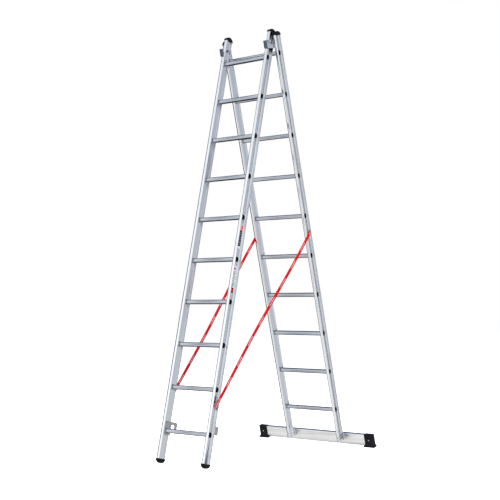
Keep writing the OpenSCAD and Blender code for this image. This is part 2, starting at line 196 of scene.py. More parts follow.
def middle(name):
    """The middle of a CAD part's box."""
    low, high = (Vector(c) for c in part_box(name))
    return (low + high) / 2


def section_axes(top, bottom):
    """The upright frame of a leaning section: origin on the hinge line, Z up along the stiles."""
    up = (middle(top) - middle(bottom)).normalized()
    across = Vector((1, 0, 0))
    back = up.cross(across)
    leaning = Matrix((across, back, up)).transposed().to_4x4()
    return Matrix.Translation(Vector((middle(top).x, hinge.y, hinge.z))) @ leaning


front = section_axes("front_rung_1", "front_rung_10")
rear = section_axes("rear_rung_1", "rear_rung_10")
lean = {
    "front_section": front.to_euler().x,
    "rear_section": rear.to_euler().x,
}


def shader_group(name, numbers, outputs):
    """An empty shader node group with number inputs and the given outputs."""
    group = bpy.data.node_groups.new(name, "ShaderNodeTree")
    for label, value in numbers.items():
        socket = group.interface.new_socket(label, in_out="INPUT", socket_type="NodeSocketFloat")
        socket.default_value = value
    for label in outputs:
        group.interface.new_socket(label, in_out="OUTPUT", socket_type="NodeSocketFloat")
    return group, group.nodes.new("NodeGroupInput"), group.nodes.new("NodeGroupOutput")


def noise(tree, vector, scale, detail=3, roughness=0.5):
    """Cloudy values from 0 to 1; scale is a number or a socket."""
    n = tree.nodes.new("ShaderNodeTexNoise")
    n.inputs["Detail"].default_value = detail
    n.inputs["Roughness"].default_value = roughness
    tree.links.new(vector, n.inputs["Vector"])
    if isinstance(scale, (int, float)):
        n.inputs["Scale"].default_value = scale
    else:
        tree.links.new(scale, n.inputs["Scale"])
    return n.outputs["Fac"]


def spread(tree, value, low, high, to_low=0.0, to_high=1.0):
    """Stretches the part of a value between low and high over a new range."""
    m = tree.nodes.new("ShaderNodeMapRange")
    m.inputs["From Min"].default_value = low
    m.inputs["From Max"].default_value = high
    m.inputs["To Min"].default_value = to_low
    m.inputs["To Max"].default_value = to_high
    tree.links.new(value, m.inputs["Value"])
    return m.outputs["Result"]


# Lines that run along a drawn or extruded length. Lean turns them to the section's own slope.
die_lines, inside, result = shader_group("die_lines", {"Lean": 0.0, "Along X": 0.0}, ["Lines", "Smudge"])
place = die_lines.nodes.new("ShaderNodeTexCoord").outputs["Object"]
upright = die_lines.nodes.new("ShaderNodeVectorRotate")
upright.rotation_type = "X_AXIS"
die_lines.links.new(place, upright.inputs["Vector"])
die_lines.links.new(inside.outputs["Lean"], upright.inputs["Angle"])
stretched = []
for squeeze in ((1, 1, 0.003), (0.003, 1, 1)):
    m = die_lines.nodes.new("ShaderNodeMapping")
    m.inputs["Scale"].default_value = squeeze
    die_lines.links.new(upright.outputs["Vector"], m.inputs["Vector"])
    stretched.append(m.outputs["Vector"])
run = die_lines.nodes.new("ShaderNodeMix")
run.data_type = "VECTOR"
die_lines.links.new(inside.outputs["Along X"], run.inputs["Factor"])
die_lines.links.new(stretched[0], run.inputs[4])
die_lines.links.new(stretched[1], run.inputs[5])
lines = noise(die_lines, run.outputs[1], 700, 4, 0.6)
die_lines.links.new(spread(die_lines, lines, 0.3, 0.7), result.inputs["Lines"])
die_lines.links.new(spread(die_lines, noise(die_lines, place, 7, 5, 0.6), 0.35, 0.7), result.inputs["Smudge"])

# Short scratches and scuffs from carrying and stacking.
scuffs, inside, result = shader_group("scuffs", {"Scale": 40.0}, ["Scuff"])
place = scuffs.nodes.new("ShaderNodeTexCoord").outputs["Object"]
torn = noise(scuffs, place, inside.outputs["Scale"], 8, 0.75)
patch = noise(scuffs, place, 3.5, 2)
joined = scuffs.nodes.new("ShaderNodeMath")
joined.operation = "MULTIPLY"
scuffs.links.new(spread(scuffs, torn, 0.56, 0.66), joined.inputs[0])
scuffs.links.new(spread(scuffs, patch, 0.48, 0.66), joined.inputs[1])
scuffs.links.new(joined.outputs[0], result.inputs["Scuff"])


def new_material(name):
    """A material with its node tree and its surface shader."""
    material = bpy.data.materials.new(name)
    material.use_nodes = True
    return material, material.node_tree, material.node_tree.nodes["Principled BSDF"]


def place_group(tree, group, **numbers):
    """Adds a shader group to a material and sets its numbers."""
    node = tree.nodes.new("ShaderNodeGroup")
    node.node_tree = group
    for label, value in numbers.items():
        node.inputs[label.replace("_", " ")].default_value = value
    return node


def blend_colour(tree, mask, one, two):
    """Mixes two colours, each a tuple or a socket, by a mask."""
    m = tree.nodes.new("ShaderNodeMix")
    m.data_type = "RGBA"
    tree.links.new(mask, m.inputs["Factor"])
    for socket, colour in (("A", one), ("B", two)):
        if isinstance(colour, tuple):
            m.inputs[socket].default_value = (*colour, 1)
        else:
            tree.links.new(colour, m.inputs[socket])
    return m.outputs["Result"]


def raise_surface(tree, bsdf, height, distance, strength=1.0):
    """Gives a surface fine relief, distance metres deep."""
    bump = tree.nodes.new("ShaderNodeBump")
    bump.inputs["Distance"].default_value = distance
    bump.inputs["Strength"].default_value = strength
    tree.links.new(height, bump.inputs["Height"])
    tree.links.new(bump.outputs[0], bsdf.inputs["Normal"])


def aluminium(name, tone, rough, slope, along_x=0.0, scuff_scale=40.0, recess_shade=None):
    """Extruded aluminium, mill finish, with its die lines, smudges and scuffs.

    A recess_shade is (half width, tone): a web that lies nearer the middle than that gets the darker tone, painted
    shade standing in for the shade down in the channel.
    """
    material, tree, bsdf = new_material(name)
    drawn = place_group(tree, die_lines, Lean=slope, Along_X=along_x)
    worn = place_group(tree, scuffs, Scale=scuff_scale)
    streaked = blend_colour(tree, spread(tree, drawn.outputs["Lines"], 0, 1, 0, 0.5),
                            tone, tuple(0.86 * c for c in tone))
    smudged = blend_colour(tree, spread(tree, drawn.outputs["Smudge"], 0, 1, 0, 0.2),
                           streaked, tuple(0.84 * c for c in tone))
    worn_and_shaded = blend_colour(tree, worn.outputs["Scuff"], smudged, tuple(0.72 * c for c in tone))
    # Painted shade: sideways faces inside the flange tips are darkened to stand for the shade in the recessed web.
    if recess_shade:
        place = tree.nodes.new("ShaderNodeSeparateXYZ")
        tree.links.new(tree.nodes.new("ShaderNodeTexCoord").outputs["Object"], place.inputs[0])
        offset = tree.nodes.new("ShaderNodeMath")
        offset.operation = "SUBTRACT"
        offset.inputs[1].default_value = front.translation.x
        tree.links.new(place.outputs["X"], offset.inputs[0])
        apart = tree.nodes.new("ShaderNodeMath")
        apart.operation = "ABSOLUTE"
        tree.links.new(offset.outputs[0], apart.inputs[0])
        facing = tree.nodes.new("ShaderNodeSeparateXYZ")
        tree.links.new(tree.nodes.new("ShaderNodeNewGeometry").outputs["True Normal"], facing.inputs[0])
        sideways = tree.nodes.new("ShaderNodeMath")
        sideways.operation = "ABSOLUTE"
        tree.links.new(facing.outputs["X"], sideways.inputs[0])
        web_shade_mask = tree.nodes.new("ShaderNodeMath")
        web_shade_mask.operation = "MULTIPLY"
        tree.links.new(spread(tree, apart.outputs[0], recess_shade[0], recess_shade[0] - 1.5 * MM), web_shade_mask.inputs[0])
        tree.links.new(spread(tree, sideways.outputs[0], 0.6, 0.8), web_shade_mask.inputs[1])
        worn_and_shaded = blend_colour(tree, web_shade_mask.outputs[0], worn_and_shaded, recess_shade[1])
    tree.links.new(worn_and_shaded, bsdf.inputs["Base Color"])
    bsdf.inputs["Metallic"].default_value = 1.0
    tree.links.new(spread(tree, drawn.outputs["Smudge"], 0, 1, rough, rough + 0.05), bsdf.inputs["Roughness"])
    raise_surface(tree, bsdf, drawn.outputs["Lines"], 0.00006, 0.7)
    return material


def from_cad(node):
    """A bmesh copy of a CAD part with its flat faces made whole again."""
    bm = bmesh.new()
    bm.from_mesh(nodes[node].data)
    bmesh.ops.remove_doubles(bm, verts=bm.verts, dist=1e-6)
    bmesh.ops.dissolve_limit(bm, angle_limit=math.radians(0.5), verts=bm.verts, edges=bm.edges)
    return bm


def finish_piece(name, bm, material, body, stands_for, place=None, mirrored=False, sharp=32):
    """Turns a bmesh into a piece: it is placed, given its finish, and rides on its body."""
    if mirrored:
        bm.transform(Matrix.Scale(-1, 4, (1, 0, 0)))
    if place is not None:
        bm.transform(place)
    bmesh.ops.recalc_face_normals(bm, faces=bm.faces)
    mesh = bpy.data.meshes.new(name)
    bm.to_mesh(mesh)
    bm.free()
    for polygon in mesh.polygons:
        polygon.use_smooth = True
    mesh.set_sharp_from_angle(angle=math.radians(sharp))
    mesh.materials.append(material)
    piece = bpy.data.objects.new(name, mesh)
    scene.collection.objects.link(piece)
    if body:
        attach(piece, body)
    if stands_for:
        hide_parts(*stands_for)
    return piece


stile_tone = (0.90, 0.915, 0.935)
# The web's tone is painted shade: darker than the flange tips, for the shade in the stile's channel.
web_painted_shade_tone = (0.66, 0.69, 0.73)
stile_metal = {}
for body, name in (("front_section", "front_stile_right"), ("rear_section", "rear_stile_right")):
    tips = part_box(name)[1][0] - front.translation.x
    stile_metal[body] = aluminium("stile_aluminium_" + body, stile_tone, 0.13, -lean[body],
                                  recess_shade=(tips - 3 * MM, web_painted_shade_tone))
tip_round = 1.2 * MM
crown = 3 * MM
crown_cuts = 10
flange_zone = 5.5 * MM
for name in ("front_stile_left", "front_stile_right", "rear_stile_left", "rear_stile_right"):
    body = "front_section" if name in front_nodes else "rear_section"
    bm = from_cad(name)
    upright = (front if body == "front_section" else rear).inverted()
    bm.transform(upright)
    low_x = min(v.co.x for v in bm.verts)
    high_x = max(v.co.x for v in bm.verts)
    near_y, far_y = min(v.co.y for v in bm.verts), max(v.co.y for v in bm.verts)
    middle_y, half_y = (near_y + far_y) / 2, (far_y - near_y) / 2
    middle_x, half_x = (low_x + high_x) / 2, (high_x - low_x) / 2
    for k in range(1, crown_cuts):
        plane = (low_x + (high_x - low_x) * k / crown_cuts, 0, 0)
        bmesh.ops.bisect_plane(bm, geom=list(bm.verts) + list(bm.edges) + list(bm.faces),
                               plane_co=plane, plane_no=(1, 0, 0))
    for v in bm.verts:
        if abs(v.co.y - middle_y) > half_y - flange_zone:
            drop = crown * ((v.co.x - middle_x) / half_x) ** 2
            v.co.y -= math.copysign(drop, v.co.y - middle_y)
    bm.transform(upright.inverted())
    bm.normal_update()
    long_edges = [e for e in bm.edges if e.is_manifold and e.is_convex and e.calc_length() > 0.1
                  and e.calc_face_angle(0) > math.radians(40)]
    bmesh.ops.bevel(bm, geom=long_edges, offset=tip_round, segments=3, profile=0.5, affect="EDGES",
                    clamp_overlap=True)
    finish_piece("extruded_" + name, bm, stile_metal[body], body, [name])

# --- Rungs ------------------------------------------------------------------------------
# Aluminium tube, square with rounded corners, with fine grooves along its faces for grip. Each
# end goes through a stile's web and is rolled out into a collar on both sides, which locks it.
rung_half = 14 * MM
rung_corner = 9 * MM
rung_wall = 1.6 * MM
groove_deep = 0.45 * MM
grooves = 5
stile_groove = 6 * MM
stile_web = 3 * MM
collar_out = 2.7 * MM
rung_tone = (0.54, 0.575, 0.63)


def rung_ring(x, grow, grooved):
    """One loop of points round a rung, grown outward by grow, with its faces grooved or plain."""
    points = []
    corner = rung_corner + grow
    flat = rung_half - rung_corner
    for face in range(4):
        quarter_turn = face * math.pi / 2
        for step in range(2 * grooves + 1):
            along = -flat + 2 * flat * step / (2 * grooves)
            out_by = rung_half + grow - (groove_deep if grooved and step % 2 else 0)
            points.append((along, out_by, quarter_turn))
        for step in range(1, 5):
            a = math.pi / 2 - step * math.pi / 10
            points.append((flat + corner * math.cos(a), flat + corner * math.sin(a), quarter_turn))
    return [Vector((x, u * math.cos(t) + v * math.sin(t), -u * math.sin(t) + v * math.cos(t)))
            for u, v, t in points]


def skin(bm, rings, closed):
    """Joins loops of points into a surface; closed also joins the last loop to the first.

    It gives back one list of faces for each pair of loops.
    """
    loops = [[bm.verts.new(p) for p in ring] for ring in rings]
    pairs = list(zip(loops, loops[1:])) + ([(loops[-1], loops[0])] if closed else [])
    bands = []
    for one, two in pairs:
        bands.append([])
        for i in range(len(one)):
            j = (i + 1) % len(one)
            bands[-1].append(bm.faces.new((one[i], one[j], two[j], two[i])))
    return bands


rung_metal = {
    body: aluminium("rung_aluminium_" + body, rung_tone, 0.22, -slope, 1.0, 60.0)
    for body, slope in lean.items()
}
# The inside of each tube is painted near-black: painted shade standing in for the unlit hollow seen through the
# rung ends.
tube_inside_painted_shade, tree, bsdf = new_material("tube_inside_painted_shade")
bsdf.inputs["Roughness"].default_value = 0.85
bsdf.inputs["Specular IOR Level"].default_value = 0.1
hollow_shade_mottle = noise(tree, tree.nodes.new("ShaderNodeTexCoord").outputs["Object"], 300)
tree.links.new(blend_colour(tree, hollow_shade_mottle, (0.004, 0.004, 0.005), (0.012, 0.012, 0.013)),
               bsdf.inputs["Base Color"])
for section, body, place in (("front", "front_section", front), ("rear", "rear_section", rear)):
    stile_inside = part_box(section + "_stile_right")[0][0] - place.translation.x
    seat = stile_inside + stile_groove
    web_face = seat + stile_web
    for i in range(1, 11):
        node = f"{section}_rung_{i}"
        tip = (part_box(node)[1][0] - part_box(node)[0][0]) / 2
        # Each entry is a distance from the middle, how far the tube swells there, and if it is grooved.
        half_profile = [
            (0.0, 0.0, True), (seat - 7 * MM, 0.0, True), (seat - 4.5 * MM, 0.0, False),
            (seat - 2.6 * MM, 0.2 * MM, False), (seat - 2.0 * MM, 1.5 * MM, False),
            (seat - 1.2 * MM, collar_out, False), (seat - 0.2 * MM, collar_out, False),
            (seat, collar_out - 0.3 * MM, False), (seat, 0.0, False), (web_face, 0.0, False),
            (web_face, collar_out - 0.3 * MM, False), (web_face + 0.3 * MM, collar_out, False),
            (tip - 0.4 * MM, collar_out, False), (tip, collar_out - 0.3 * MM, False),
            (tip, collar_out - 0.7 * MM, False), (tip - 5 * MM, -rung_wall, False),
            (tip - 14 * MM, -rung_wall, False),
        ]
        outer = [rung_ring(*p) for p in half_profile]
        far = [rung_ring(-x, grow, g) for x, grow, g in half_profile[:0:-1]]
        bm = bmesh.new()
        bands = skin(bm, far + outer, True)
        # These bands are the tube's inner wall, which takes the painted shade.
        for band in (bands[0], bands[1], bands[-3], bands[-2], bands[-1]):
            for face in band:
                face.material_index = 1
        at = place.inverted() @ middle(node)
        bm.transform(Matrix.Translation((0, at.y, at.z)))
        tube = finish_piece("tube_" + node, bm, rung_metal[body], body, [node], place)
        tube.data.materials.append(tube_inside_painted_shade)

# --- Caps and feet ----------------------------------------------------------------------
# Moulded in black polypropylene and pushed over the stile ends. The feet have a rounded tread
# with cross grooves, because the front section rocks on them as the ladder opens.
cap_bevel = 0.9 * MM
dome_radius = 36 * MM
skirt = 3 * MM
skirt_wall = 2.5 * MM
tread_deep = 1.4 * MM
treads = 7


def black_plastic(name, tone=(0.004, 0.004, 0.005), rough=0.42, grain=2600):
    """Moulded black plastic with a fine grain and pale scuffs."""
    material, tree, bsdf = new_material(name)
    worn = place_group(tree, scuffs, Scale=70.0)
    place = tree.nodes.new("ShaderNodeTexCoord").outputs["Object"]
    fine = noise(tree, place, grain, 2)
    cloud = noise(tree, place, 18, 4)
    base = blend_colour(tree, spread(tree, cloud, 0.35, 0.7), tone, tuple(1.7 * c for c in tone))
    marked = blend_colour(tree, worn.outputs["Scuff"], base, (0.035, 0.035, 0.037))
    tree.links.new(marked, bsdf.inputs["Base Color"])
    tree.links.new(spread(tree, worn.outputs["Scuff"], 0, 1, rough, rough + 0.2), bsdf.inputs["Roughness"])
    bsdf.inputs["Specular IOR Level"].default_value = 0.12
    raise_surface(tree, bsdf, fine, 0.00012, 0.5)
    return material


def prism(outline, x0, x1):
    """A bmesh plate: an outline of (y, z) points with thickness along X."""
    bm = bmesh.new()
    near = [bm.verts.new((x0, y, z)) for y, z in outline]
    back = [bm.verts.new((x1, y, z)) for y, z in outline]
    bm.faces.new(near)
    bm.faces.new(back[::-1])
    for i in range(len(outline)):
        j = (i + 1) % len(outline)
        bm.faces.new((near[i], back[i], back[j], near[j]))
    bmesh.ops.recalc_face_normals(bm, faces=bm.faces)
    return bm


def round_edges(bm, width, segments=3, angle=40):
    """Rounds every edge that turns by more than angle degrees."""
    bm.normal_update()
    keen = [e for e in bm.edges if e.is_manifold and e.calc_face_angle(0) > math.radians(angle)]
    bmesh.ops.bevel(bm, geom=keen, offset=width, segments=segments, profile=0.5, affect="EDGES",
                    clamp_overlap=True)


def block(low, high):
    """A bmesh box between two corners."""
    bm = bmesh.new()
    bmesh.ops.create_cube(bm, size=1)
    size = [h - l for l, h in zip(low, high)]
    centre = [(h + l) / 2 for l, h in zip(low, high)]
    bm.transform(Matrix.Translation(centre) @ Matrix.Diagonal((*size, 1)))
    return bm


def cut_away(bm, cutter):
    """Takes the cutter's shape out of bm, and returns what is left."""
    work = []
    for shape in (bm, cutter):
        mesh = bpy.data.meshes.new("work")
        shape.to_mesh(mesh)
        shape.free()
        thing = bpy.data.objects.new("work", mesh)
        scene.collection.objects.link(thing)
        work.append(thing)
    step = work[0].modifiers.new("cut", "BOOLEAN")
    step.operation = "DIFFERENCE"
    step.solver = "EXACT"
    step.object = work[1]
    bpy.context.view_layer.update()
    done = work[0].evaluated_get(bpy.context.evaluated_depsgraph_get()).to_mesh()
    left = bmesh.new()
    left.from_mesh(done)
    for thing in work:
        mesh = thing.data
        bpy.data.objects.remove(thing)
        bpy.data.meshes.remove(mesh)
    return left


def dome(half_depth, straight, treaded):
    """Side outline of a cap or foot, with the stile's end at z = 0 and the dome upward."""
    sink = math.sqrt(dome_radius ** 2 - half_depth ** 2)
    sweep = math.asin(half_depth / dome_radius)
    outline = [(-half_depth, -skirt), (half_depth, -skirt)]
    steps = 6 * treads + 5 if treaded else 24
    for i in range(steps + 1):
        a = sweep - 2 * sweep * i / steps
        radius = dome_radius - (tread_deep if treaded and i % 6 in (2, 3) else 0)
        outline.append((radius * math.sin(a), straight - sink + radius * math.cos(a)))
    return outline


cap_plastic = black_plastic("cap_plastic")
foot_rubber = black_plastic("foot_rubber", (0.006, 0.006, 0.006), 0.55, 1800)
ends = [
    (f"{section}_{kind}_{side}", section, kind, side)
    for section, kind in (("front", "cap"), ("rear", "cap"), ("front", "foot"))
    for side in ("left", "right")
]
for node, section, kind, side in ends:
    place = front if section == "front" else rear
    body = section + "_section"
    low, high = (Vector(c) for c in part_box(node))
    stile_low, stile_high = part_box(f"{section}_stile_{side}")
    x0 = abs((low if side == "right" else high).x - place.translation.x)
    x1 = abs((high if side == "right" else low).x - place.translation.x)
    corners = [place.inverted() @ v.co for v in nodes[node].data.vertices]
    y_mid = (min(c.y for c in corners) + max(c.y for c in corners)) / 2
    half_depth = (max(c.y for c in corners) - min(c.y for c in corners)) / 2
    stile_ends = [(place.inverted() @ v.co).z for v in nodes[f"{section}_stile_{side}"].data.vertices]
    end_z = min(stile_ends) if kind == "foot" else max(stile_ends)
    sink = math.sqrt(dome_radius ** 2 - half_depth ** 2)
    apex = abs((min if kind == "foot" else max)(c.z for c in corners) - end_z)
    bm = prism(dome(half_depth, apex - dome_radius + sink, kind == "foot"), x0, x1)
    round_edges(bm, cap_bevel, 3, 50)
    inner = abs((stile_low if side == "right" else stile_high)[0] - place.translation.x)
    outer = abs((stile_high if side == "right" else stile_low)[0] - place.translation.x)
    stile_half = half_depth - skirt_wall
    bm = cut_away(bm, block((inner, -stile_half, -skirt - MM), (outer, stile_half, 0)))
    if kind == "foot":
        bm.transform(Matrix.Scale(-1, 4, (0, 0, 1)))
    bm.transform(Matrix.Translation((0, y_mid, end_z)))
    finish_piece("moulded_" + node, bm, foot_rubber if kind == "foot" else cap_plastic, body,
                 [node], place, side == "left")

# --- Guides -----------------------------------------------------------------------------
# Zinc-plated steel, bent up from 4 mm plate and riveted inside the rear stiles. The open notch carries the hinge
# bolt, and the front lip stops the front section. Faces that look forward, the lip's front among them, take a
# darker copy of the zinc, a painted dark reflection.
guide_edge = 0.7 * MM


def zinc(name, tone, rough, spangle=0.0, scuff_scale=90.0):
    """Zinc plating: a dull grey bloom, with faint crystal patches on hot-dipped plate."""
    material, tree, bsdf = new_material(name)
    place = tree.nodes.new("ShaderNodeTexCoord").outputs["Object"]
    cells = tree.nodes.new("ShaderNodeTexVoronoi")
    cells.inputs["Scale"].default_value = 160
    tree.links.new(place, cells.inputs["Vector"])
    crystal = tree.nodes.new("ShaderNodeRGBToBW")
    tree.links.new(cells.outputs["Color"], crystal.inputs[0])
    worn = place_group(tree, scuffs, Scale=scuff_scale)
    light = tuple(min(1.0, (1 + spangle) * c) for c in tone)
    plated = blend_colour(tree, crystal.outputs[0], tuple((1 - spangle) * c for c in tone), light)
    bloom = blend_colour(tree, spread(tree, noise(tree, place, 35, 5), 0.4, 0.7, 0, 0.5),
                         plated, tuple(0.8 * c for c in tone))
    tree.links.new(blend_colour(tree, worn.outputs["Scuff"], bloom, light), bsdf.inputs["Base Color"])
    bsdf.inputs["Metallic"].default_value = 1.0
    tree.links.new(spread(tree, crystal.outputs[0], 0, 1, rough, rough + 0.12), bsdf.inputs["Roughness"])
    raise_surface(tree, bsdf, noise(tree, place, 1500, 3), 0.00005, 0.6)
    return material


guide_metal = zinc("guide_zinc", (0.66, 0.68, 0.71), 0.24, 0.12)
# A dark copy of the guide zinc: a painted dark reflection for the faces that look forward.
lip_painted_reflection = zinc("guide_lip_dark_reflection_zinc", (0.11, 0.145, 0.19), 0.26, 0.12)
forward = (rear.to_3x3() @ Vector((0, -1, 0))).normalized()
for side in ("left", "right"):
    bm = from_cad("guide_" + side)
    round_edges(bm, guide_edge, 2, 40)
    bm.normal_update()
    # Forward-facing faces take the dark zinc, the painted dark reflection.
    for face in bm.faces:
        face.material_index = 1 if face.normal.dot(forward) > 0.7 else 0
    guide = finish_piece("plate_guide_" + side, bm, guide_metal, "rear_section",
                         ["guide_" + side])
    guide.data.materials.append(lip_painted_reflection)

# --- Rivets -----------------------------------------------------------------------------
# Zinc-plated steel rivets with low domed heads: three through each guide, headed outside, and
# three through each rung hook, headed inside.
rivet_tone = (0.62, 0.64, 0.67)


def turned(bm, profile, x_to, y, z, faces=28):
    """Adds a turned shape on an axis along X through (y, z); profile is (x, radius) points."""
    loops = []
    for x, radius in profile:
        loops.append([bm.verts.new((x_to(x), y + radius * math.cos(2 * math.pi * k / faces),
                                    z + radius * math.sin(2 * math.pi * k / faces))) for k in range(faces)])
    for one, two in zip(loops, loops[1:]):
        for k in range(faces):
            j = (k + 1) % faces
            bm.faces.new((one[k], one[j], two[j], two[k]))
    bm.faces.new(loops[0])
    bm.faces.new(loops[-1][::-1])


def solids_of(node, place):
    """The separate solids of a CAD node, as boxes in an upright section frame."""
    bm = bmesh.new()
    bm.from_mesh(nodes[node].data)
    bmesh.ops.remove_doubles(bm, verts=bm.verts, dist=1e-6)
    bm.transform(place.inverted())
    left, boxes = set(bm.verts), []
    while left:
        group, edge = set(), [left.pop()]
        while edge:
            v = edge.pop()
            group.add(v)
            for e in v.link_edges:
                w = e.other_vert(v)
                if w in left:
                    left.discard(w)
                    edge.append(w)
        low = Vector(min(v.co[k] for v in group) for k in range(3))
        high = Vector(max(v.co[k] for v in group) for k in range(3))
        boxes.append((low, high))
    bm.free()
    return sorted(boxes, key=lambda b: (b[0].x, b[0].z))


def low_dome(radius, height, steps=5):
    """Profile of a rivet head from its rim to its crown, rising from x = 0."""
    rim = 0.25 * height
    curve = [(0.0, radius), (rim, radius)]
    for k in range(1, steps + 1):
        a = math.pi / 2 * k / steps
        curve.append((rim + (height - rim) * math.sin(a), max(radius * math.cos(a), 0.0002)))
    return curve


rivet_metal = zinc("rivet_zinc", rivet_tone, 0.36, 0.0, 140.0)
for node, section, head_r, head, head_out in (
        ("guide_rivets", "rear", 6 * MM, 2.5 * MM, True), ("hook_rivets", "front", 5 * MM, 2.5 * MM, False)):
    place = front if section == "front" else rear
    shank_r = 3 * MM
    bm = bmesh.new()
    for low, high in solids_of(node, place):
        y, z = (low.y + high.y) / 2, (low.z + high.z) / 2
        sign = 1 if low.x > 0 else -1
        a, b = (low.x, high.x) if sign > 0 else (-high.x, -low.x)
        if head_out:
            seat = b - head
            turned(bm, [(a, shank_r - 0.4 * MM), (a + 0.4 * MM, shank_r), (seat, shank_r)]
                   + [(seat + x, r) for x, r in low_dome(head_r, head)], lambda x: sign * x, y, z)
        else:
            seat = a + head
            turned(bm, [(b, shank_r - 0.4 * MM), (b - 0.4 * MM, shank_r), (seat, shank_r)]
                   + [(seat - x, r) for x, r in low_dome(head_r, head)], lambda x: sign * x, y, z)
    finish_piece("domed_" + node, bm, rivet_metal, section + "_section", [node], place)

# --- Hinge bolts ------------------------------------------------------------------------
# An M12 bolt on each side. It sits in the guide's notch, runs through a spacer in the front
# stile's channel, and is held by a nut in the stile's inner groove.
bolt_metal = zinc("bolt_zinc", (0.36, 0.38, 0.41), 0.30, 0.0, 140.0)
bolt_head = 5.5 * MM


def hexagon(bm, x0, x1, radius, y, z, chamfer):
    """Adds a six-sided head or nut along X, its corners turned off at both ends."""
    turned(bm, [(x0, radius - chamfer), (x0 + 0.4 * chamfer, radius), (x1 - 0.4 * chamfer, radius),
                (x1, radius - chamfer)], lambda x: x, y, z, 6)


bm = bmesh.new()
for low, high in solids_of("hinge_bolts", front):
    y, z = (low.y + high.y) / 2, (low.z + high.z) / 2
    sign = 1 if low.x > 0 else -1
    tip, crown = (low.x, high.x) if sign > 0 else (high.x, low.x)
    seat = crown - sign * bolt_head
    turned(bm, [(tip, 5.0 * MM), (tip + sign * MM, 6 * MM), (seat, 6 * MM)], lambda x: x, y, z, 32)
    turned(bm, [(seat, 9.2 * MM), (seat + sign * 0.3 * MM, 9.5 * MM), (seat + sign * 1.0 * MM, 9.5 * MM),
                (seat + sign * 1.3 * MM, 9.0 * MM)], lambda x: x, y, z, 40)
    hexagon(bm, *sorted((seat + sign * 1.3 * MM, crown)), 9.3 * MM, y, z, 0.7 * MM)
finish_piece("hex_hinge_bolts", bm, bolt_metal, "front_section", ["hinge_bolts"], front)

for node in ("hinge_nuts", "hinge_spacers"):
    bm = from_cad(node)
    round_edges(bm, 0.5 * MM, 2, 40)
    finish_piece("eased_" + node, bm, bolt_metal if node == "hinge_nuts" else rivet_metal,
                 "front_section", [node])

# --- Rung hooks -------------------------------------------------------------------------
# Laser-cut steel plate, zinc plated, riveted to the inner side of each front stile round the
# lowest rung. The slot hangs on a rear rung when the ladder is used extended.
hook_metal = zinc("hook_zinc", (0.44, 0.45, 0.47), 0.30, 0.14)
for side in ("left", "right"):
    bm = from_cad("hook_" + side)
    round_edges(bm, 0.6 * MM, 2, 40)
    finish_piece("plate_hook_" + side, bm, hook_metal, "front_section", ["hook_" + side])

# --- Stabiliser -------------------------------------------------------------------------
# A rectangular aluminium tube bolted across the back of the rear stiles. Its moulded feet are
# pushed over the ends, held by a screw in front, and flare into a wide ribbed sole.
bar_metal = aluminium("bar_aluminium", (0.95, 0.95, 0.95), 0.26, -lean["rear_section"], 1.0, 50.0)
bm = from_cad("stabiliser_bar")
round_edges(bm, 1.2 * MM, 3, 60)
finish_piece("tube_stabiliser_bar", bm, bar_metal, "rear_section", ["stabiliser_bar"])

